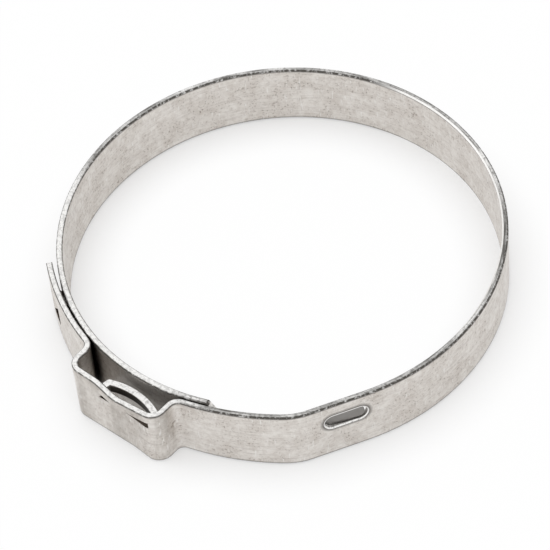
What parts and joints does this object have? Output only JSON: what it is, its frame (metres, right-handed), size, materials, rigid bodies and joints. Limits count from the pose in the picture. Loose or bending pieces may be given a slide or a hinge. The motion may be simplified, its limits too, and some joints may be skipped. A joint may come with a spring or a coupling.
{
  "type": "single-ear hose clamp",
  "caption": "Uncrimped single-ear hose clamp of flat stainless steel strip: round band, square ear with a lanced strap, and lapped ends joined by a hook and window and by a tongue and slot.",
  "frame": {"origin": "on the axis of the bore, at the middle of the band's width", "axes": "+Z along the axis of the bore and across the band's width; -Y from the axis through the middle of the ear; +X towards the side with the slot and ramp"},
  "size_m": [0.0436, 0.047, 0.007],
  "materials": {
    "stainless_strip": "satin, as rolled, with bright sheared edges"
  },
  "bodies": {
    "root": {"clamp_band": "stainless_strip"}
  },
  "joints": []
}
